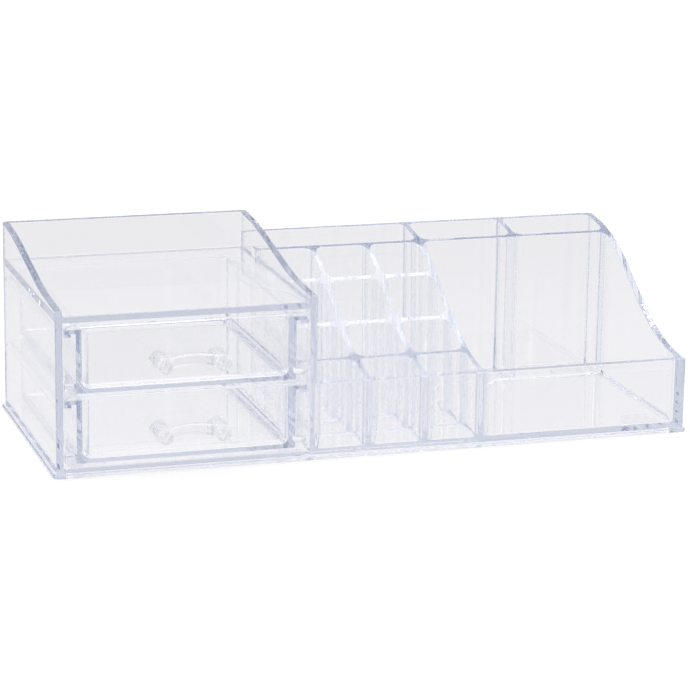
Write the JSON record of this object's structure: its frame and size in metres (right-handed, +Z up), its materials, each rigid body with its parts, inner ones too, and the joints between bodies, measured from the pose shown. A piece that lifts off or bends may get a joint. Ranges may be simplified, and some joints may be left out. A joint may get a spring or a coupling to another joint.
{
  "type": "makeup organizer",
  "caption": "Clear makeup organizer: a tower of hanging drawers with bridge pulls beside a swept case of lipstick slots, an open tray and tall back compartments.",
  "frame": {"origin": "middle of the bottom of the whole object's box, on the surface it stands on", "axes": "+X to the right along the length, -Y out of the drawer fronts, +Z up"},
  "size_m": [0.3, 0.135, 0.0904],
  "materials": {
    "clear_case": "polished clear polystyrene, pale violet-blue at the edges",
    "clear_drawer": "polished clear polystyrene",
    "clear_pull": "polished clear polystyrene",
    "clear_pad": "soft translucent vinyl"
  },
  "bodies": {
    "case": {"case": "clear_case", "pad_front_left": "clear_pad", "pad_front_right": "clear_pad", "pad_back_left": "clear_pad", "pad_back_right": "clear_pad"},
    "drawer_lower": {"drawer_lower": "clear_drawer", "pull_lower": "clear_pull"},
    "drawer_upper": {"drawer_upper": "clear_drawer", "pull_upper": "clear_pull"}
  },
  "joints": [
    {"name": "drawer_lower_slide", "type": "slide", "parent": "case", "child": "drawer_lower", "axis": [0, -1, 0], "range_m": [0, 0.1]},
    {"name": "drawer_upper_slide", "type": "slide", "parent": "case", "child": "drawer_upper", "axis": [0, -1, 0], "range_m": [0, 0.1]}
  ]
}
